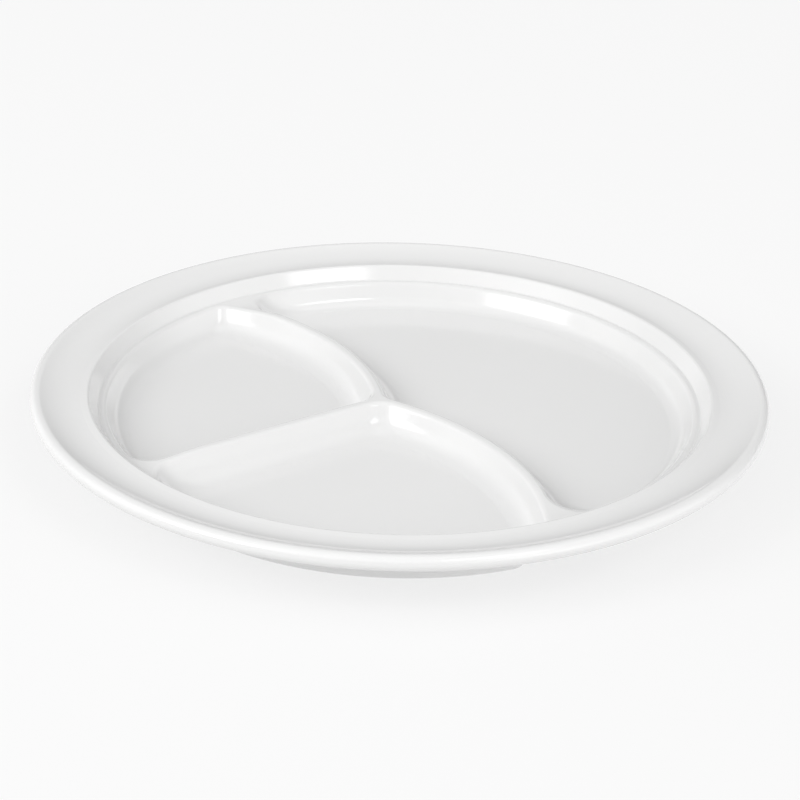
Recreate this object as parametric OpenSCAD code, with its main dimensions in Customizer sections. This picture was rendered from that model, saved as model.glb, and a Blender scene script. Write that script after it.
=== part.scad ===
// Divided compartment plate: round rim, one large well and two small wells with Y dividers.
// Millimetres, +Z up, origin on the table at the centre of the plate, straight divider along -Y.

/* [Outside] */
// Outer diameter over the lip
plate_d = 260; // [240:1:285]
// Height of the lip above the table
plate_h = 24.6; // [22:0.1:29]
// Radius of the rounded lip
lip_r = 2.7; // [2.2:0.1:3.2]
// Thickness of the moulded wall
wall_t = 3.2; // [2.6:0.1:3.8]

/* [Rim and ledge] */
// Width of the rim from its inner edge to the outside
rim_w = 20.1; // [17:0.1:24]
// Drop from the lip top to the inner edge of the rim
rim_drop = 2.5; // [2:0.1:3]
// Angle at which the dished rim runs into the lip
lip_rise = 26; // [22:0.5:30]
// Height of the step from the ledge to the inner edge of the rim
step_h = 5.1; // [4:0.1:6.5]
// Width of the sloping step
step_run = 3.5; // [3:0.1:4.5]
// Rounding along the top of the step
step_edge_r = 1.2; // [0.6:0.1:1.6]
// Hollow rounding along the foot of the step
step_foot_r = 0.8; // [0.4:0.1:1.4]
// Width of the ledge round the wells
ledge_w = 1.2; // [1:0.1:2]

/* [Wells] */
// Depth of the wells below the ledge
well_depth = 8.2; // [7.6:0.1:9]
// Width of the outer wall of the wells seen from above
outer_run = 9.2; // [9:0.1:10.5]
// Width of the divider slopes seen from above
divider_run = 11.4; // [11:0.1:13]
// Rounding along the top edge of the wells
edge_r = 2; // [1.6:0.1:2.4]
// Hollow rounding at the foot of the outer walls
outer_hollow_r = 6; // [5:0.1:6.3]
// Hollow rounding at the foot of the divider slopes
divider_hollow_r = 8; // [6.5:0.1:8.2]
// Corner radius of the small wells at the outer wall
corner_r = 10; // [8:0.5:12]
// Corner radius of the small wells at the end of a bowed divider
end_corner_r = 5; // [4:0.1:7]
// Corner radius of the wells at the hub
hub_r = 9; // [7:0.5:10.5]
// Corner radius of the large well at the outer wall
large_corner_r = 12; // [9:0.5:14]
// Corner radius of the floors
floor_corner_r = 12; // [4:0.5:14]

/* [Dividers] */
// Width of the flat crest
crest_w = 1; // [0.8:0.1:1.6]
// Rise of the crests above the ledge
crest_up = 1.4; // [0.8:0.1:2]
// Length over which a crest falls to the ledge at its outer end
crest_fall = 26; // [20:1:36]
// Distance of the hub from the plate centre, along the straight divider
hub_back = 8.6; // [6:0.1:11]
// Distance from the centre line to where the curved dividers meet the outer wall
end_back = 12.1; // [9:0.1:15]
// Radius of the curved dividers along their crest
bow_r = 105; // [95:1:125]

/* [Foot] */
// Set-in of the foot rims from the well edge
foot_in = 5.2; // [4.8:0.1:5.4]
// Width of the foot rims
foot_w = 3.9; // [3:0.1:4]

/* [Hidden] */
$fn = 180;
plate_r = plate_d / 2;
rim_in = plate_r - rim_w;
crease_in = rim_in - step_run;
well_r = crease_in - ledge_w;
lip_z = plate_h - lip_r;
lip_x = plate_r - lip_r;
edge_z = plate_h - rim_drop;
rim_out = lip_x - lip_r;
ledge_z = edge_z - step_h;
under_z = ledge_z - wall_t;
floor_z = ledge_z - well_depth;
floor_under = floor_z - wall_t;
half = crest_w / 2;
divider_foot_in = foot_in + divider_run - outer_run;
n_arc = 8;
n_long = 18;
white = [0.93, 0.93, 0.92];

function dir(p) = atan2(p[1], p[0]);
function turned(a, from) = a < from ? turned(a + 360, from) : a;
// Points on an arc from angle a0 to a1, the last point left out.
function arc(c, r, a0, a1, n) =
    [for (i = [0 : n - 1]) let (a = a0 + (a1 - a0) * i / n) c + r * [cos(a), sin(a)]];
// Meeting point of two circles, the one on the left of the line from p to q.
function meet(p, rp, q, rq) = let (
    v = q - p,
    l = norm(v),
    x = (l * l + rp * rp - rq * rq) / (2 * l),
    y = sqrt(max(0, rp * rp - x * x)))
    p + v * x / l + [-v[1], v[0]] * y / l;
// Rounding of the corner b between a and c.
function rounded(a, b, c, r, n) = let (
    u = (a - b) / norm(a - b),
    v = (c - b) / norm(c - b),
    turn = acos(u * v),
    mid = b + (u + v) / norm(u + v) * r / sin(turn / 2),
    a0 = dir(b + u * r / tan(turn / 2) - mid),
    a1 = dir(b + v * r / tan(turn / 2) - mid),
    sweep = a1 - a0 > 180 ? a1 - a0 - 360 : a1 - a0 < -180 ? a1 - a0 + 360 : a1 - a0)
    [for (i = [0 : n]) mid + r * [cos(a0 + sweep * i / n), sin(a0 + sweep * i / n)]];
function tuck(r, d) = max(r - d, min(r, floor_corner_r));

// Centre of the right curved divider, from its hub end and its outer end.
hub = [0, -hub_back];
bow_end = [sqrt(well_r * well_r - end_back * end_back), -end_back];
bow_c = meet(bow_end, bow_r, hub, bow_r);
bow_left = [-bow_c[0], bow_c[1]];

// Right small well, anticlockwise from the hub corner.
// It is set in by d from its edge on the outer wall and by e on the dividers.
function small_ring(d, e) = let (
    ro = well_r - d,
    re = bow_r - half - e,
    xl = half + e,
    r1 = tuck(corner_r, (d + e) / 2),
    r2 = tuck(hub_r, e),
    r3 = tuck(end_corner_r, (d + e) / 2),
    h = [xl + r2, bow_c[1] + sqrt(pow(re - r2, 2) - pow(xl + r2 - bow_c[0], 2))],
    s = [xl + r1, -sqrt(pow(ro - r1, 2) - pow(xl + r1, 2))],
    q = meet([0, 0], ro - r3, bow_c, re - r3),
    a_h = dir(h - bow_c),
    a_s = turned(dir(s), 180),
    a_q = turned(dir(q), a_s),
    a_b = dir(q - bow_c))
    concat(
        arc(h, r2, a_h, 180, n_arc),
        [[xl, h[1]]],
        arc(s, r1, 180, a_s, n_arc),
        arc([0, 0], ro, a_s, a_q, n_long),
        arc(q, r3, a_q, turned(a_b, a_q), n_arc),
        arc(bow_c, re, a_b, a_h, n_long));

// Large well, anticlockwise from its right corner, set in the same way.
function large_ring(d, e) = let (
    ro = well_r - d,
    ra = bow_r + half + e,
    r1 = tuck(large_corner_r, (d + e) / 2),
    r2 = tuck(hub_r, e),
    f = meet([0, 0], ro - r1, bow_c, ra + r1),
    g = [-f[0], f[1]],
    k = [0, bow_c[1] + sqrt(pow(ra + r2, 2) - pow(bow_c[0], 2))],
    a_f = dir(f),
    a_fb = turned(dir(bow_c - f), 0),
    a_bk = dir(k - bow_c),
    a_bf = dir(f - bow_c),
    a_kl = turned(dir(bow_left - k), 0),
    a_kr = turned(dir(bow_c - k), 0))
    concat(
        arc(f, r1, a_fb, turned(a_f, a_fb), n_arc),
        arc([0, 0], ro, a_f, 180 - a_f, 2 * n_long),
        arc(g, r1, 180 - a_f, 540 - a_fb, n_arc),
        arc(bow_left, ra, 180 - a_bf, 180 - a_bk, n_long),
        arc(k, r2, a_kl, a_kr, n_arc),
        arc(bow_c, ra, a_bk, a_bf, n_long));
function flip(ring) = [for (i = [len(ring) - 1 : -1 : 0]) [-ring[i][0], ring[i][1]]];

// Steepest angle of a wall with a rounded edge and a hollow foot.
function slope(run, hollow) = let (
    sum = edge_r + hollow,
    len2 = pow(run, 2) + pow(well_depth - sum, 2) - sum * sum)
    atan2(well_depth - sum, run) + atan2(sum, sqrt(max(0.01, len2)));
// Set-in of such a wall at depth t below the ledge.
function set_in(t, run, hollow) = let (
    a = slope(run, hollow),
    t1 = edge_r * (1 - cos(a)),
    u = well_depth - t)
    t < t1 ? sqrt(max(0, edge_r * edge_r - pow(edge_r - t, 2))) :
    u < hollow * (1 - cos(a)) ? run - sqrt(max(0, hollow * hollow - pow(hollow - u, 2))) :
    edge_r * sin(a) + (t - t1) / tan(a);
outer_a = slope(outer_run, outer_hollow_r);
depths = concat(
    [for (i = [0 : 4]) edge_r * (1 - cos(outer_a * i / 4))],
    [for (i = [6 : -1 : 0]) well_depth - outer_hollow_r * (1 - cos(outer_a * i / 6))]);
// Section of the well walls: set-in on the outer wall, on the dividers, height, share of the crest's rise.
section = concat(
    [for (t = depths) [
        set_in(t, outer_run, outer_hollow_r),
        set_in(t, divider_run, divider_hollow_r),
        ledge_z - t,
        1 - t / well_depth]],
    [[outer_run, divider_run, floor_under, 0],
    [foot_in, divider_foot_in, floor_under, 0],
    [0.8, 0.8, under_z - 1.4, 1],
    [0, 0, under_z, 1]]);
// Rise of the crests at a distance r from the plate centre.
crest_end = well_r - 0.5;
function ease(t) = t <= 0 ? 0 : t >= 1 ? 1 : t * t * (3 - 2 * t);
function rise(r) = crest_up * ease((crest_end - r) / crest_fall);

// Closed skin swept round a well: one ring of points for each section point.
module well_skin(rings) {
    m = len(rings);
    n = len(rings[0]);
    points = [for (j = [0 : m - 1]) for (i = [0 : n - 1])
        [rings[j][i][0], rings[j][i][1], section[j][2] + section[j][3] * rise(norm(rings[0][i]))]];
    faces = [for (j = [0 : m - 1]) for (i = [0 : n - 1]) let (
        i2 = (i + 1) % n,
        j2 = (j + 1) % m)
        each [[j * n + i, j2 * n + i2, j * n + i2], [j * n + i, j2 * n + i, j2 * n + i2]]];
    polyhedron(points = points, faces = faces, convexity = 8);
}
module sheet(z0, z1, ring) {
    translate([0, 0, z0]) linear_extrude(z1 - z0) polygon(ring);
}
module foot_rim(outer, inner) {
    linear_extrude(floor_under) difference() {
        polygon(outer);
        polygon(inner);
    }
}

// Dish of the rim: an arc from its inner edge that runs smoothly into the lip.
span = [lip_x - rim_in, lip_z - edge_z];
lean = [-sin(lip_rise), cos(lip_rise)];
dish_r = (span * span + 2 * lip_r * (span * lean) + lip_r * lip_r) / (-2 * (span * lean + lip_r));
dish_x = lip_x + (dish_r + lip_r) * lean[0];
dish_z = lip_z + (dish_r + lip_r) * lean[1];
touch_x = lip_x + lip_r * lean[0];
function rim_top(x) = dish_z - sqrt(pow(dish_r, 2) - pow(x - dish_x, 2));
function rim_under(x) = dish_z - sqrt(pow(dish_r + wall_t, 2) - pow(x - dish_x, 2));
join_x = rim_in + step_edge_r;

// Rounded lip round the outside of the rim.
module lip() {
    color(white) rotate_extrude() intersection() {
        translate([rim_out, 0]) square([20, 60]);
        union() {
            translate([lip_x, lip_z]) circle(lip_r, $fn = 48);
            polygon(concat(
                [[rim_out - 1, rim_under(rim_out)], [lip_x, lip_z - 0.8 * lip_r], [lip_x, lip_z]],
                [for (i = [8 : -1 : 0])
                    let (x = rim_out - 1 + (touch_x - rim_out + 1) * i / 8) [x, rim_top(x)]]));
        }
    }
}

// Dished rim between the step and the lip.
module rim() {
    color(white) rotate_extrude() difference() {
        intersection() {
            translate([join_x, edge_z - 12]) square([rim_out - join_x, 16]);
            translate([dish_x, dish_z]) circle(dish_r + wall_t, $fn = 360);
        }
        translate([dish_x, dish_z]) circle(dish_r, $fn = 360);
    }
}

// Step and flat ledge between the rim and the wells.
module shelf() {
    crest = [rim_in, edge_z];
    crease = [crease_in, ledge_z];
    side = wall_t * [sin(dir(crest - crease)), -cos(dir(crest - crease))];
    low_crease = [crease_in + wall_t * tan(dir(crest - crease) / 2), under_z];
    low_crest = [crest[0] + side[0] - wall_t * 0.35, rim_under(join_x) - 0.1];
    color(white) rotate_extrude() polygon(concat(
        [[well_r, ledge_z]],
        rounded([well_r, ledge_z], crease, crest, step_foot_r, 3),
        rounded(crease, crest, [join_x, rim_top(join_x)], step_edge_r * 0.8, 3),
        [[join_x, rim_top(join_x)], [join_x, rim_under(join_x)]],
        join_x > low_crest[0] + 0.2 ? [low_crest] : [],
        [low_crease, [well_r, under_z]]));
}

// Walls of the three wells.
module well_right() {
    color(white) well_skin([for (s = section) small_ring(s[0], s[1])]);
}
module well_left() {
    color(white) well_skin([for (s = section) flip(small_ring(s[0], s[1]))]);
}
module well_large() {
    color(white) well_skin([for (s = section) large_ring(s[0], s[1])]);
}

// Flat floors of the three wells.
module floor_right() {
    color(white) sheet(floor_under, floor_z, small_ring(outer_run, divider_run));
}
module floor_left() {
    color(white) sheet(floor_under, floor_z, flip(small_ring(outer_run, divider_run)));
}
module floor_large() {
    color(white) sheet(floor_under, floor_z, large_ring(outer_run, divider_run));
}

// Foot rims under the three wells.
small_foot = small_ring(foot_in, divider_foot_in);
small_hollow = small_ring(foot_in + foot_w, divider_foot_in + foot_w);
module foot_right() {
    color(white) foot_rim(small_foot, small_hollow);
}
module foot_left() {
    color(white) foot_rim(flip(small_foot), flip(small_hollow));
}
module foot_large() {
    color(white) foot_rim(
        large_ring(foot_in, divider_foot_in),
        large_ring(foot_in + foot_w, divider_foot_in + foot_w));
}

// Crests of the dividers: narrow strips between the well edges, falling to the ledge at their outer ends.
function part_of(ring, i0, i1) = [for (i = [i0 : i1]) ring[i % len(ring)]];
function wall_arc(p, q, n) = let (a = dir(p), b = dir(q))
    [for (i = [1 : n - 1]) well_r * [cos(a + (b - a) * i / n), sin(a + (b - a) * i / n)]];
edge_s = small_ring(0, 0);
edge_l = large_ring(0, 0);
s_out = 2 * n_arc + 1;
s_corner = s_out + n_long;
l_out = n_arc;
l_hub = 2 * n_arc + 3 * n_long;
l_bow = l_hub + n_arc;
right_strip = concat(
    part_of(edge_l, l_bow, len(edge_l) + l_out),
    wall_arc(edge_l[l_out], edge_s[s_corner], 4),
    part_of(edge_s, s_corner, len(edge_s)));
middle_side = part_of(edge_s, 0, s_out);
middle_strip = concat(
    middle_side,
    wall_arc(edge_s[s_out], [-edge_s[s_out][0], edge_s[s_out][1]], 4),
    flip(middle_side),
    part_of(edge_l, l_hub, l_bow));
fall = concat([0], [for (i = [0 : 5]) crest_end - crest_fall * (1 - i / 5)], [well_r + 1]);
module crest(ring) {
    intersection() {
        sheet(under_z - 1, ledge_z + crest_up + 1, ring);
        rotate_extrude() polygon(concat(
            [for (r = fall) [r, under_z + rise(r)]],
            [for (i = [len(fall) - 1 : -1 : 0]) [fall[i], ledge_z + rise(fall[i])]]));
    }
}
module divider_right() {
    color(white) crest(right_strip);
}
module divider_left() {
    color(white) crest(flip(right_strip));
}
module divider_middle() {
    color(white) crest(middle_strip);
}

lip();
rim();
shelf();
well_large();
well_left();
well_right();
floor_large();
floor_left();
floor_right();
foot_large();
foot_left();
foot_right();
divider_left();
divider_right();
divider_middle();
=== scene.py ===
import math

import bmesh
import bpy
from mathutils import Matrix, Vector


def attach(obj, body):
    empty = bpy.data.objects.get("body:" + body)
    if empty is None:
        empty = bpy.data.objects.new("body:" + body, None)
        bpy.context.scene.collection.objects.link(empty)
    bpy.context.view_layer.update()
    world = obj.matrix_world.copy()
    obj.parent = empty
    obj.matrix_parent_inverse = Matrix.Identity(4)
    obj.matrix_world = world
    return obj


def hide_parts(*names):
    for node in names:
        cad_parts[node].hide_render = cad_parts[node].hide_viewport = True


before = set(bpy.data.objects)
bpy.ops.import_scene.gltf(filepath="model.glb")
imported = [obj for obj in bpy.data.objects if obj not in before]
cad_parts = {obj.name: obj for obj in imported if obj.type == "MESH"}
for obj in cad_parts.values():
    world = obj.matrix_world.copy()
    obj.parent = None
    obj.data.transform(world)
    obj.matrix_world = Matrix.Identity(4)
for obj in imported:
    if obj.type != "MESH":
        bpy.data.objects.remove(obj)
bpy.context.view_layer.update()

MM = 0.001

# Outside, rim and ledge, in millimetres
PLATE_R = 130.0
PLATE_H = 24.6
LIP_R = 2.7
WALL = 3.2
RIM_W = 20.1
RIM_DROP = 2.5
LIP_RISE = math.radians(26)
STEP_H = 5.1
STEP_RUN = 3.5
STEP_EDGE_R = 1.2
STEP_FOOT_R = 0.8
LEDGE_W = 1.2

# Wells and dividers
WELL_DEPTH = 8.2
OUTER_RUN = 9.2
DIVIDER_RUN = 11.4
EDGE_R = 2.0
OUTER_HOLLOW_R = 6.0
DIVIDER_HOLLOW_R = 9.4
CORNER_R = 10.0
END_CORNER_R = 5.0
HUB_R = 9.0
LARGE_CORNER_R = 12.0
FLOOR_CORNER_R = 12.0
CREST_W = 1.0
CREST_UP = 1.4
CREST_FALL = 26.0
HUB_BACK = 8.6
END_BACK = 12.1
BOW_R = 105.0

# Where a crest starts to rise, counted in from the edge of the wells
CREST_START = 0.5

# Foot rims and the wells' outsides
FOOT_IN = 5.2
FOOT_W = 3.9
FOOT_EDGE_R = 1.0
FLANK_IN = 0.4
FLANK_R = 1.2
HEEL_R = 2.5
ARCH_R = 1.5
ARCH_RUN = 4.0
SPREAD_IN = 0.8

# Where the lip, the rim and the shelf meet, and the underside between them
STEP_REACH = 2.8
LIP_REACH = 2.4
BEAD_END = math.radians(-80)
WEB_BACK = 0.4
WEB_PULL = 1.0
WEB_RISE = 0.12
WEB_DIP = 0.17
FILL_OUT = 0.5
FILL_STRIP = 0.1
UNDER_EDGE_R = 0.4
UNDER_CREASE_R = 2.0

# Heights and radii that follow from them
RIM_IN = PLATE_R - RIM_W
CREASE_IN = RIM_IN - STEP_RUN
WELL_R = CREASE_IN - LEDGE_W
LIP_X = PLATE_R - LIP_R
LIP_Z = PLATE_H - LIP_R
EDGE_Z = PLATE_H - RIM_DROP
LEDGE_Z = EDGE_Z - STEP_H
UNDER_Z = LEDGE_Z - WALL
FLOOR_Z = LEDGE_Z - WELL_DEPTH
FLOOR_UNDER = FLOOR_Z - WALL
HALF = CREST_W / 2
DIVIDER_MORE = DIVIDER_RUN - OUTER_RUN

# How finely the moulding is drawn
ROUND_STEPS = 288
CORNER_STEPS = 20
LONG_STEPS = 64
STRAIGHT_STEPS = 12
HOLLOW_STEPS = 24
EDGE_STEPS = 18
WALL_STEPS = 5
FOOT_STEPS = 6
HEEL_STEPS = 5
BEAD_STEPS = 40
TOP_STEPS = 12
RIM_STEPS = 20
WEB_STEPS = 8
UNDER_STEPS = 5
CREASE_STEPS = 8
BROW_STEPS = 10
UNDER_EDGE_STEPS = 4
START_R = 0.1
WELD = 5e-6
SMOOTH_ANGLE = math.radians(40)
MARGIN = 0.2


def direction(p):
    return math.atan2(p[1], p[0])


def turned(angle, start):
    while angle < start:
        angle += 2 * math.pi
    return angle


def arc(centre, r, a0, a1, steps):
    """Points along an arc, the last one left out."""
    angles = [a0 + (a1 - a0) * i / steps for i in range(steps)]
    return [(centre[0] + r * math.cos(a), centre[1] + r * math.sin(a)) for a in angles]


def meet(p, rp, q, rq):
    """Where two circles meet, on the left of the line from p to q."""
    vx, vy = q[0] - p[0], q[1] - p[1]
    length = math.hypot(vx, vy)
    x = (length * length + rp * rp - rq * rq) / (2 * length)
    y = math.sqrt(max(0.0, rp * rp - x * x))
    return (p[0] + (vx * x - vy * y) / length, p[1] + (vy * x + vx * y) / length)


def away(p, q):
    return (p[0] - q[0], p[1] - q[1])


def tuck(r, d):
    """Radius of a corner set in by d. It shrinks no further than the floor's corners."""
    return max(r - d, min(r, FLOOR_CORNER_R))


def rounded(a, b, c, r, steps):
    """The corner b between a and c, rounded with radius r."""
    u = (Vector(a) - Vector(b)).normalized()
    v = (Vector(c) - Vector(b)).normalized()
    half_turn = u.angle(v) / 2
    centre = Vector(b) + (u + v).normalized() * r / math.sin(half_turn)
    a0 = direction(Vector(b) + u * r / math.tan(half_turn) - centre)
    a1 = direction(Vector(b) + v * r / math.tan(half_turn) - centre)
    sweep = (a1 - a0 + math.pi) % (2 * math.pi) - math.pi
    angles = [a0 + sweep * i / steps for i in range(steps + 1)]
    return [(centre[0] + r * math.cos(t), centre[1] + r * math.sin(t)) for t in angles]


# Centres of the two bowed dividers
BOW_END = (math.sqrt(WELL_R**2 - END_BACK**2), -END_BACK)
BOW_C = meet(BOW_END, BOW_R, (0.0, -HUB_BACK), BOW_R)
BOW_LEFT = (-BOW_C[0], BOW_C[1])
MIDDLE = (0.0, 0.0)


def small_outline(d, e):
    """Right small well, set in by d on the outer wall and by e on the dividers."""
    outer_r = WELL_R - d
    bow_r = BOW_R - HALF - e
    side = HALF + e
    corner_r = tuck(CORNER_R, (d + e) / 2)
    hub_r = tuck(HUB_R, e)
    end_r = tuck(END_CORNER_R, (d + e) / 2)
    hub = (side + hub_r, BOW_C[1] + math.sqrt((bow_r - hub_r) ** 2 - (side + hub_r - BOW_C[0]) ** 2))
    corner = (side + corner_r, -math.sqrt((outer_r - corner_r) ** 2 - (side + corner_r) ** 2))
    end = meet(MIDDLE, outer_r - end_r, BOW_C, bow_r - end_r)
    hub_turn = direction(away(hub, BOW_C))
    corner_turn = turned(direction(corner), math.pi)
    end_turn = turned(direction(end), corner_turn)
    bow_turn = direction(away(end, BOW_C))
    drop = corner[1] - hub[1]
    straight = [(side, hub[1] + drop * i / STRAIGHT_STEPS) for i in range(STRAIGHT_STEPS)]
    return (
        arc(hub, hub_r, hub_turn, math.pi, CORNER_STEPS)
        + straight
        + arc(corner, corner_r, math.pi, corner_turn, CORNER_STEPS)
        + arc(MIDDLE, outer_r, corner_turn, end_turn, LONG_STEPS)
        + arc(end, end_r, end_turn, turned(bow_turn, end_turn), CORNER_STEPS)
        + arc(BOW_C, bow_r, bow_turn, hub_turn, LONG_STEPS)
    )


def large_outline(d, e):
    """Large well, set in the same way."""
    outer_r = WELL_R - d
    bow_r = BOW_R + HALF + e
    corner_r = tuck(LARGE_CORNER_R, (d + e) / 2)
    hub_r = tuck(HUB_R, e)
    right = meet(MIDDLE, outer_r - corner_r, BOW_C, bow_r + corner_r)
    left = (-right[0], right[1])
    hub = (0.0, BOW_C[1] + math.sqrt((bow_r + hub_r) ** 2 - BOW_C[0] ** 2))
    wall_turn = direction(right)
    corner_turn = turned(direction(away(BOW_C, right)), 0.0)
    bow_start = direction(away(hub, BOW_C))
    bow_end = direction(away(right, BOW_C))
    hub_start = turned(direction(away(BOW_LEFT, hub)), 0.0)
    hub_end = turned(direction(away(BOW_C, hub)), 0.0)
    return (
        arc(right, corner_r, corner_turn, turned(wall_turn, corner_turn), CORNER_STEPS)
        + arc(MIDDLE, outer_r, wall_turn, math.pi - wall_turn, 2 * LONG_STEPS)
        + arc(left, corner_r, math.pi - wall_turn, 3 * math.pi - corner_turn, CORNER_STEPS)
        + arc(BOW_LEFT, bow_r, math.pi - bow_end, math.pi - bow_start, LONG_STEPS)
        + arc(hub, hub_r, hub_start, hub_end, CORNER_STEPS)
        + arc(BOW_C, bow_r, bow_start, bow_end, LONG_STEPS)
    )


def left_outline(d, e):
    """Left small well, the mirror image of the right one."""
    return [(-x, y) for x, y in reversed(small_outline(d, e))]


def slope(run, hollow):
    """Steepest angle of a wall with a rounded edge and a hollow foot."""
    total = EDGE_R + hollow
    rest = math.sqrt(max(0.01, run**2 + (WELL_DEPTH - total) ** 2 - total**2))
    return math.atan2(WELL_DEPTH - total, run) + math.atan2(total, rest)


def set_in(t, run, hollow):
    """How far such a wall has come in at depth t below the ledge."""
    a = slope(run, hollow)
    t1 = EDGE_R * (1 - math.cos(a))
    u = WELL_DEPTH - t
    if t < t1:
        return math.sqrt(max(0.0, EDGE_R**2 - (EDGE_R - t) ** 2))
    if u < hollow * (1 - math.cos(a)):
        return run - math.sqrt(max(0.0, hollow**2 - (hollow - u) ** 2))
    return EDGE_R * math.sin(a) + (t - t1) / math.tan(a)


def rise(p):
    """How far the crest stands above the ledge at a point on a well's edge."""
    t = min(1.0, max(0.0, (WELL_R - CREST_START - math.hypot(*p)) / CREST_FALL))
    return CREST_UP * t * t * (3 - 2 * t)


def wall_levels():
    """Depths at which the wall is drawn, from the floor up to the edge."""
    a = slope(OUTER_RUN, OUTER_HOLLOW_R)
    turns = [a * i / HOLLOW_STEPS for i in range(HOLLOW_STEPS + 1)]
    hollow = [WELL_DEPTH - OUTER_HOLLOW_R * (1 - math.cos(turn)) for turn in turns]
    edge = [EDGE_R * (1 - math.cos(a * i / EDGE_STEPS)) for i in range(EDGE_STEPS, -1, -1)]
    low, high = hollow[-1], edge[0]
    between = [low + (high - low) * i / WALL_STEPS for i in range(1, WALL_STEPS)]
    return hollow + between + edge


def pan_section():
    """Section of a well from its floor, over the edge and down the outside to the floor's underside.

    Each entry is the set-in on the outer wall, the set-in on the dividers, the height and the share
    of the crest's rise.
    """
    inside = []
    for t in wall_levels():
        d = set_in(t, OUTER_RUN, OUTER_HOLLOW_R)
        e = set_in(t, DIVIDER_RUN, DIVIDER_HOLLOW_R)
        inside.append((d, e, LEDGE_Z - t, 1 - t / WELL_DEPTH))
    floor = [(OUTER_RUN + MARGIN, DIVIDER_RUN + MARGIN, FLOOR_Z, 0.0)]
    crown = [(-MARGIN, -MARGIN, LEDGE_Z, 1.0), (-MARGIN, -MARGIN, UNDER_Z, 1.0)]
    inner = FOOT_IN + FOOT_W
    brink, bend = (FLANK_IN, UNDER_Z), (FOOT_IN, FLOOR_UNDER)
    flank = rounded((-MARGIN, UNDER_Z), brink, bend, FLANK_R, FOOT_STEPS)
    heel = rounded(brink, bend, (FOOT_IN, 0.0), HEEL_R, HEEL_STEPS)
    toe = rounded(bend, (FOOT_IN, 0.0), (inner, 0.0), FOOT_EDGE_R, FOOT_STEPS)
    ball = rounded((FOOT_IN, 0.0), (inner, 0.0), (inner, FLOOR_UNDER), FOOT_EDGE_R, FOOT_STEPS)
    arch = rounded((inner, 0.0), (inner, FLOOR_UNDER), (inner + ARCH_RUN, FLOOR_UNDER), ARCH_R, FOOT_STEPS)
    outside = []
    for d, z in flank + heel + toe + ball + arch:
        share = min(1.0, max(0.0, (d - SPREAD_IN) / (FOOT_IN - SPREAD_IN)))
        outside.append((d, d + DIVIDER_MORE * share, z, 1 - share))
    last = outside[-1]
    return floor + inside + crown + outside + [(last[0] + MARGIN, last[1] + MARGIN, last[2], 0.0)]


# Modelling by hand


def draw_outline(points, fill="NOTHING"):
    """A ring of corners added to the mesh in hand and set on an outline."""
    bpy.ops.mesh.primitive_circle_add(vertices=len(points), radius=START_R, fill_type=fill)
    mesh = bpy.context.object.data
    sheet = bmesh.from_edit_mesh(mesh)
    corners = sorted([v for v in sheet.verts if v.select], key=lambda v: direction(v.co))
    for corner, point in zip(corners, points):
        corner.co = point
    bmesh.update_edit_mesh(mesh)


def start_piece(name):
    """A new empty piece, open for modelling."""
    bpy.ops.object.select_all(action="DESELECT")
    bpy.ops.mesh.primitive_circle_add(vertices=8, radius=START_R, enter_editmode=True)
    bpy.context.object.name = name
    bpy.context.object.data.name = name
    bpy.ops.mesh.select_all(action="SELECT")
    bpy.ops.mesh.delete(type="VERT")
    bpy.ops.mesh.select_mode(type="EDGE")
    return bpy.context.object


def finish_piece(piece, *nodes):
    """Closes the piece, turns its faces outwards, smooths it and lets it stand for its solids."""
    bpy.ops.mesh.select_all(action="SELECT")
    bpy.ops.mesh.remove_doubles(threshold=WELD)
    bpy.ops.mesh.normals_make_consistent(inside=False)
    bpy.ops.object.mode_set(mode="OBJECT")
    bpy.ops.object.shade_smooth_by_angle(angle=SMOOTH_ANGLE)
    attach(piece, "root")
    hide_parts(*nodes)


def pick_edges(piece, wanted):
    """Selects only the open edges that are wanted."""
    bpy.ops.mesh.select_all(action="DESELECT")
    sheet = bmesh.from_edit_mesh(piece.data)
    for edge in sheet.edges:
        if (edge.is_boundary or edge.is_wire) and wanted(edge):
            edge.select_set(True)
    sheet.select_flush_mode()
    bmesh.update_edit_mesh(piece.data)


def spun(name, section):
    """A section of radius and height, turned once round the plate."""
    piece = start_piece(name)
    draw_outline([Vector((r * MM, 0.0, z * MM)) for r, z in section])
    bpy.ops.mesh.spin(steps=ROUND_STEPS, angle=2 * math.pi, center=(0, 0, 0), axis=(0, 0, 1))
    bpy.ops.mesh.select_all(action="SELECT")
    bpy.ops.mesh.remove_doubles(threshold=WELD)
    return piece


def pan(name, outline, *nodes):
    """A well: its floor is drawn, then drawn out ring by ring, over the edge and down to the foot."""
    piece = start_piece(name)
    up = [rise(p) for p in outline(0, 0)]
    rings = []
    for d, e, z, share in pan_section():
        rings.append([Vector((p[0], p[1], z + share * h)) * MM for p, h in zip(outline(d, e), up)])
    draw_outline(rings[0], "NGON")
    for before, after in zip(rings, rings[1:]):
        bpy.ops.mesh.extrude_edges_move()
        place = {tuple(p): q for p, q in zip(before, after)}
        sheet = bmesh.from_edit_mesh(piece.data)
        for corner in sheet.verts:
            if corner.select:
                corner.co = place[tuple(corner.co)]
        bmesh.update_edit_mesh(piece.data)
    bpy.ops.mesh.edge_face_add()
    finish_piece(piece, *nodes)
    return piece


# Dish of the rim: an arc from its inner edge that runs smoothly into the lip
RIM_OUT = LIP_X - LIP_R
SPAN = Vector((LIP_X - RIM_IN, LIP_Z - EDGE_Z))
LEAN = Vector((-math.sin(LIP_RISE), math.cos(LIP_RISE)))
DISH_R = (SPAN.dot(SPAN) + 2 * LIP_R * SPAN.dot(LEAN) + LIP_R**2) / (-2 * (SPAN.dot(LEAN) + LIP_R))
DISH_X = LIP_X + (DISH_R + LIP_R) * LEAN[0]
DISH_Z = LIP_Z + (DISH_R + LIP_R) * LEAN[1]
TOUCH_X = LIP_X + LIP_R * LEAN[0]
RIM_FROM = RIM_IN + STEP_REACH
RIM_TO = RIM_OUT - LIP_REACH


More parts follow.
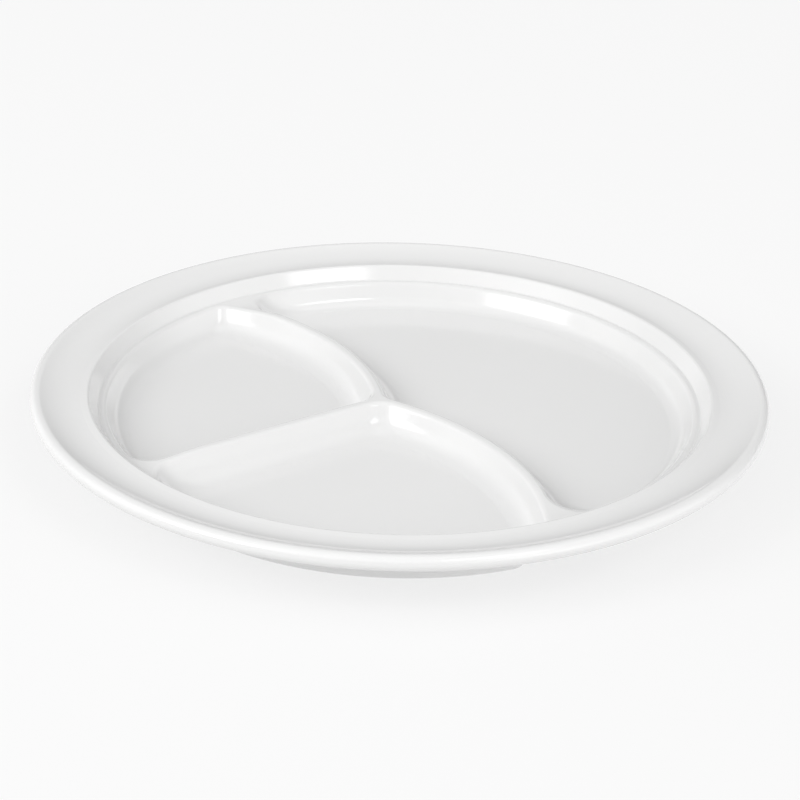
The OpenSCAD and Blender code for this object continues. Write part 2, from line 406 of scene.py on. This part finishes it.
def rim_top(x):
    return DISH_Z - math.sqrt(DISH_R**2 - (x - DISH_X) ** 2)


def rim_under(x):
    return DISH_Z - math.sqrt((DISH_R + WALL) ** 2 - (x - DISH_X) ** 2)


def along(height, x0, x1, steps):
    xs = [x0 + (x1 - x0) * i / steps for i in range(steps + 1)]
    return [(x, height(x)) for x in xs]


def lip_section():
    """Rolled bead that the dished rim runs into."""
    top = along(rim_top, RIM_TO, TOUCH_X, TOP_STEPS)[:-1]
    roll = arc((LIP_X, LIP_Z), LIP_R, math.pi / 2 + LIP_RISE, BEAD_END, BEAD_STEPS)
    web_in = RIM_OUT - WEB_BACK
    inner = (web_in, rim_under(web_in))
    outer = (LIP_X + LIP_R * math.cos(BEAD_END), LIP_Z + LIP_R * math.sin(BEAD_END))
    inner_pull = (inner[0] + WEB_PULL, inner[1] + WEB_RISE)
    outer_pull = (outer[0] - WEB_PULL, outer[1] - WEB_DIP)
    guides = (inner, inner_pull, outer_pull, outer)
    web = []
    for i in range(WEB_STEPS + 1):
        t = i / WEB_STEPS
        s = 1 - t
        weights = (t**3, 3 * t * t * s, 3 * t * s * s, s**3)
        web.append(tuple(sum(w * p[k] for w, p in zip(weights, guides)) for k in (0, 1)))
    under = along(rim_under, web_in, RIM_TO, UNDER_STEPS)[1:]
    return top + roll + web + under


def rim_section():
    """Dished rim between the step and the lip."""
    return along(rim_top, RIM_FROM, RIM_TO, RIM_STEPS) + along(rim_under, RIM_TO, RIM_FROM, RIM_STEPS)


FILL_R = WELL_R + FILL_OUT


def shelf_section():
    """Ledge and step, from the fill round the wells out to the rim."""
    crease, crest = (CREASE_IN, LEDGE_Z), (RIM_IN, EDGE_Z)
    lean = direction(away(crest, crease))
    shift = WALL * math.tan(lean / 2)
    low_crease = (CREASE_IN + shift, UNDER_Z)
    low_crest = (RIM_IN + shift, rim_under(RIM_IN + shift))
    brow = (RIM_FROM, rim_top(RIM_FROM))
    sole = (RIM_FROM, rim_under(RIM_FROM))
    return (
        [(FILL_R, LEDGE_Z), (FILL_R + FILL_STRIP, LEDGE_Z)]
        + rounded((FILL_R, LEDGE_Z), crease, crest, STEP_FOOT_R, CREASE_STEPS)
        + rounded(crease, crest, brow, STEP_EDGE_R, BROW_STEPS)
        + [brow, sole]
        + rounded(sole, low_crest, low_crease, UNDER_EDGE_R, UNDER_EDGE_STEPS)
        + rounded(low_crest, low_crease, (FILL_R, UNDER_Z), UNDER_CREASE_R, CREASE_STEPS)
        + [(FILL_R + FILL_STRIP, UNDER_Z), (FILL_R, UNDER_Z)]
    )


def deck():
    """Ledge, step and divider crests: one flat sheet with the wells' openings, joined to the spun step."""
    piece = spun("ledge_and_dividers", shelf_section())
    bpy.ops.mesh.select_all(action="DESELECT")
    bpy.ops.mesh.select_mode(type="FACE")
    sheet = bmesh.from_edit_mesh(piece.data)
    reach = (FILL_R + FILL_STRIP / 2) * MM
    for face in sheet.faces:
        if all(math.hypot(v.co.x, v.co.y) < reach for v in face.verts):
            face.select_set(True)
    bmesh.update_edit_mesh(piece.data)
    bpy.ops.mesh.delete(type="FACE")
    bpy.ops.mesh.select_mode(type="EDGE")
    for outline in (large_outline, left_outline, small_outline):
        up = [rise(p) for p in outline(0, 0)]
        ring = outline(-MARGIN, -MARGIN)
        draw_outline([Vector((p[0], p[1], LEDGE_Z + h)) * MM for p, h in zip(ring, up)])
    level = (LEDGE_Z + UNDER_Z) / 2 * MM
    pick_edges(piece, lambda edge: all(v.co.z > level for v in edge.verts))
    bpy.ops.mesh.fill(use_beauty=True)
    pick_edges(piece, lambda edge: all(v.co.z > level for v in edge.verts))
    drop = (0.0, 0.0, -WALL * MM)
    bpy.ops.mesh.extrude_edges_move(TRANSFORM_OT_translate={"value": drop})
    pick_edges(piece, lambda edge: all(v.co.z < level for v in edge.verts))
    bpy.ops.mesh.fill(use_beauty=True)
    finish_piece(piece, "shelf", "divider_left", "divider_right", "divider_middle")
    return piece


lip = spun("lip_bead", lip_section())
finish_piece(lip, "lip")
rim = spun("dished_rim", rim_section())
finish_piece(rim, "rim")
ledge = deck()
large_pan = pan("large_well", large_outline, "well_large", "floor_large", "foot_large")
left_pan = pan("left_well", left_outline, "well_left", "floor_left", "foot_left")
right_pan = pan("right_well", small_outline, "well_right", "floor_right", "foot_right")
moulding = (lip, rim, ledge, large_pan, left_pan, right_pan)


# Finish

DEEP_WHITE = (0.70, 0.70, 0.698, 1.0)
BRIGHT_WHITE = (0.72, 0.72, 0.718, 1.0)
GLOSS = 0.13
MELAMINE_IOR = 1.6


class Value:
    """A value in a material. Arithmetic on it adds Math nodes."""

    def __init__(self, tree, socket):
        self.tree = tree
        self.socket = socket

    def node(self, kind, settings, sockets, out=0):
        """Any other node: its type, its settings, then the values or links of its sockets."""
        made = self.tree.nodes.new(kind)
        for name, value in settings.items():
            setattr(made, name, value)
        for name, value in sockets.items():
            if isinstance(value, Value):
                self.tree.links.new(value.socket, made.inputs[name])
            else:
                made.inputs[name].default_value = value
        return Value(self.tree, made.outputs[out])

    def math(self, operation, a, b):
        return self.node("ShaderNodeMath", {"operation": operation}, {0: a, 1: b})

    def __add__(self, other):
        return self.math("ADD", self, other)

    def __radd__(self, other):
        return self.math("ADD", other, self)

    def __sub__(self, other):
        return self.math("SUBTRACT", self, other)

    def __rsub__(self, other):
        return self.math("SUBTRACT", other, self)

    def __mul__(self, other):
        return self.math("MULTIPLY", self, other)

    def __rmul__(self, other):
        return self.math("MULTIPLY", other, self)


def new_finish(name):
    """A bare material, its shader and a value to start from: the piece's own coordinates."""
    finish = bpy.data.materials.new(name)
    finish.use_nodes = True
    tree = finish.node_tree
    shader = tree.nodes["Principled BSDF"]
    place = tree.nodes.new("ShaderNodeTexCoord")
    return finish, shader, Value(tree, place.outputs["Object"])


def white_melamine():
    """Hard white moulding: faint clouds in the colour, a fine orange-peel skin and uneven gloss."""
    finish, shader, place = new_finish("white_melamine")
    noise = "ShaderNodeTexNoise"
    cloud = place.node(noise, {}, {"Vector": place, "Scale": 26.0, "Detail": 4.0, "Roughness": 0.55})
    grain = place.node(noise, {}, {"Vector": place, "Scale": 1400.0, "Detail": 2.0})
    peel = place.node(noise, {}, {"Vector": place, "Scale": 420.0, "Detail": 1.0})
    blend = {"Factor": cloud * 0.8 + grain * 0.2, 6: DEEP_WHITE, 7: BRIGHT_WHITE}
    tone = place.node("ShaderNodeMix", {"data_type": "RGBA"}, blend, 2)
    gloss = GLOSS + (cloud - 0.5) * 0.05 + (grain - 0.5) * 0.03
    pits = {"Strength": 0.05, "Distance": 0.0002, "Height": peel + grain * 0.25}
    skin = place.node("ShaderNodeBump", {}, pits)
    tree = finish.node_tree
    tree.links.new(tone.socket, shader.inputs["Base Color"])
    tree.links.new(gloss.socket, shader.inputs["Roughness"])
    tree.links.new(skin.socket, shader.inputs["Normal"])
    shader.inputs["IOR"].default_value = MELAMINE_IOR
    return finish


melamine = white_melamine()
for piece in moulding:
    piece.data.materials.clear()
    piece.data.materials.append(melamine)


# Floor, light and camera, placed as the photograph sees the plate

TURN = math.radians(55.13)
FLOOR_SIZE = 8.0
FLOOR_DROP = 0.0002
FLOOR_GREY = 0.2
FLOOR_SHINE = 0.7
LIGHT_REACH = 1.5
GLOW_FOCUS = 12.0

# The photograph's camera, in metres and degrees, and its focal length and width in pixels
CAMERA_RISE = math.radians(25.73)
CAMERA_ROLL = math.radians(1.39)
CAMERA_REACH = 0.845
AIM_RIGHT = 0.00009
AIM_AWAY = 0.03203
FOCAL_PIXELS = 2272.8
PHOTO_PIXELS = 800.0
SENSOR_W = 36.0


def seen(x, y, z):
    """A place given as right, away and up in the photograph, turned into the plate's own frame."""
    c, s = math.cos(TURN), math.sin(TURN)
    return Vector((x * c - y * s, x * s + y * c, z))


def bearing(azimuth, height, reach):
    """A place given by its angle from the photograph's right, its height angle and its distance."""
    a = math.radians(azimuth)
    e = math.radians(height)
    level = reach * math.cos(e)
    return seen(level * math.cos(a), level * math.sin(a), reach * math.sin(e))


def pale_floor():
    """Plain floor that shines a little, so that it stays as pale as the photograph's background."""
    bpy.ops.object.select_all(action="DESELECT")
    bpy.ops.mesh.primitive_plane_add(size=FLOOR_SIZE, location=(0, 0, -FLOOR_DROP))
    ground = bpy.context.object
    ground.name = "floor"
    finish = bpy.data.materials.new("pale_floor")
    finish.use_nodes = True
    shader = finish.node_tree.nodes["Principled BSDF"]
    shader.inputs["Base Color"].default_value = (FLOOR_GREY, FLOOR_GREY, FLOOR_GREY, 1.0)
    shader.inputs["Roughness"].default_value = 0.9
    shader.inputs["Emission Color"].default_value = (1.0, 1.0, 1.0, 1.0)
    shader.inputs["Emission Strength"].default_value = FLOOR_SHINE
    ground.data.materials.append(finish)


def softbox(name, at, width, height, power):
    """Oval soft light that faces the plate."""
    lamp = bpy.data.lights.new(name, "AREA")
    lamp.shape = "ELLIPSE"
    lamp.size = width
    lamp.size_y = height
    lamp.energy = power
    stand = bpy.data.objects.new(name, lamp)
    bpy.context.scene.collection.objects.link(stand)
    stand.location = at
    stand.rotation_euler = (-stand.location).to_track_quat("-Z", "Y").to_euler()


def studio_glow():
    """Soft light from all round the room, as broad glows that fade into each other."""
    room = bpy.data.worlds.new("studio")
    room.use_nodes = True
    tree = room.node_tree
    back = tree.nodes["Background"]
    back.inputs["Color"].default_value = (1.0, 1.0, 1.0, 1.0)
    look = Value(tree, tree.nodes.new("ShaderNodeTexCoord").outputs["Generated"])

    def glow(azimuth, height, strength):
        toward = {0: look, 1: bearing(azimuth, height, 1.0)}
        facing = look.node("ShaderNodeVectorMath", {"operation": "DOT_PRODUCT"}, toward, "Value")
        return look.math("POWER", look.math("MAXIMUM", facing, 0.0), GLOW_FOCUS) * strength

    top = glow(22, 68, 0.4) + glow(0, 90, 0.9)
    high = glow(0, 40, 1.0) + glow(90, 40, 0.6) + glow(180, 40, 1.3) + glow(225, 40, 1.6)
    near = glow(270, 40, 0.9) + glow(315, 40, 0.4)
    back_low = glow(45, 8, 0.2) + glow(90, 8, 0.2)
    low = glow(0, 8, 1.4) + glow(135, 8, 1.3) + glow(180, 8, 1.6) + glow(315, 8, 2.8)
    tree.links.new((top + high + near + back_low + low).socket, back.inputs["Strength"])
    bpy.context.scene.world = room


def camera():
    """Camera solved from the rim, the ledge and the dividers in the photograph."""
    forward = seen(0, math.cos(CAMERA_RISE), -math.sin(CAMERA_RISE))
    right = seen(1, 0, 0)
    up = right.cross(forward)
    across = right * math.cos(CAMERA_ROLL) + up * math.sin(CAMERA_ROLL)
    upright = up * math.cos(CAMERA_ROLL) - right * math.sin(CAMERA_ROLL)
    lens = bpy.data.cameras.new("photo_camera")
    lens.sensor_width = SENSOR_W
    lens.lens = FOCAL_PIXELS * SENSOR_W / PHOTO_PIXELS
    lens.clip_start = 0.01
    stand = bpy.data.objects.new("photo_camera", lens)
    bpy.context.scene.collection.objects.link(stand)
    spot = seen(AIM_RIGHT, AIM_AWAY, 0.0) - forward * CAMERA_REACH
    pointing = Matrix((across, upright, -forward)).transposed().to_4x4()
    stand.matrix_world = Matrix.Translation(spot) @ pointing
    bpy.context.scene.camera = stand


pale_floor()
softbox("right_strip", bearing(-55, 48, LIGHT_REACH), 0.74, 0.48, 3.0)
softbox("left_strip", bearing(-148, 32, LIGHT_REACH), 0.92, 0.6, 5.8)
studio_glow()
camera()
bpy.context.scene.view_settings.view_transform = "Standard"
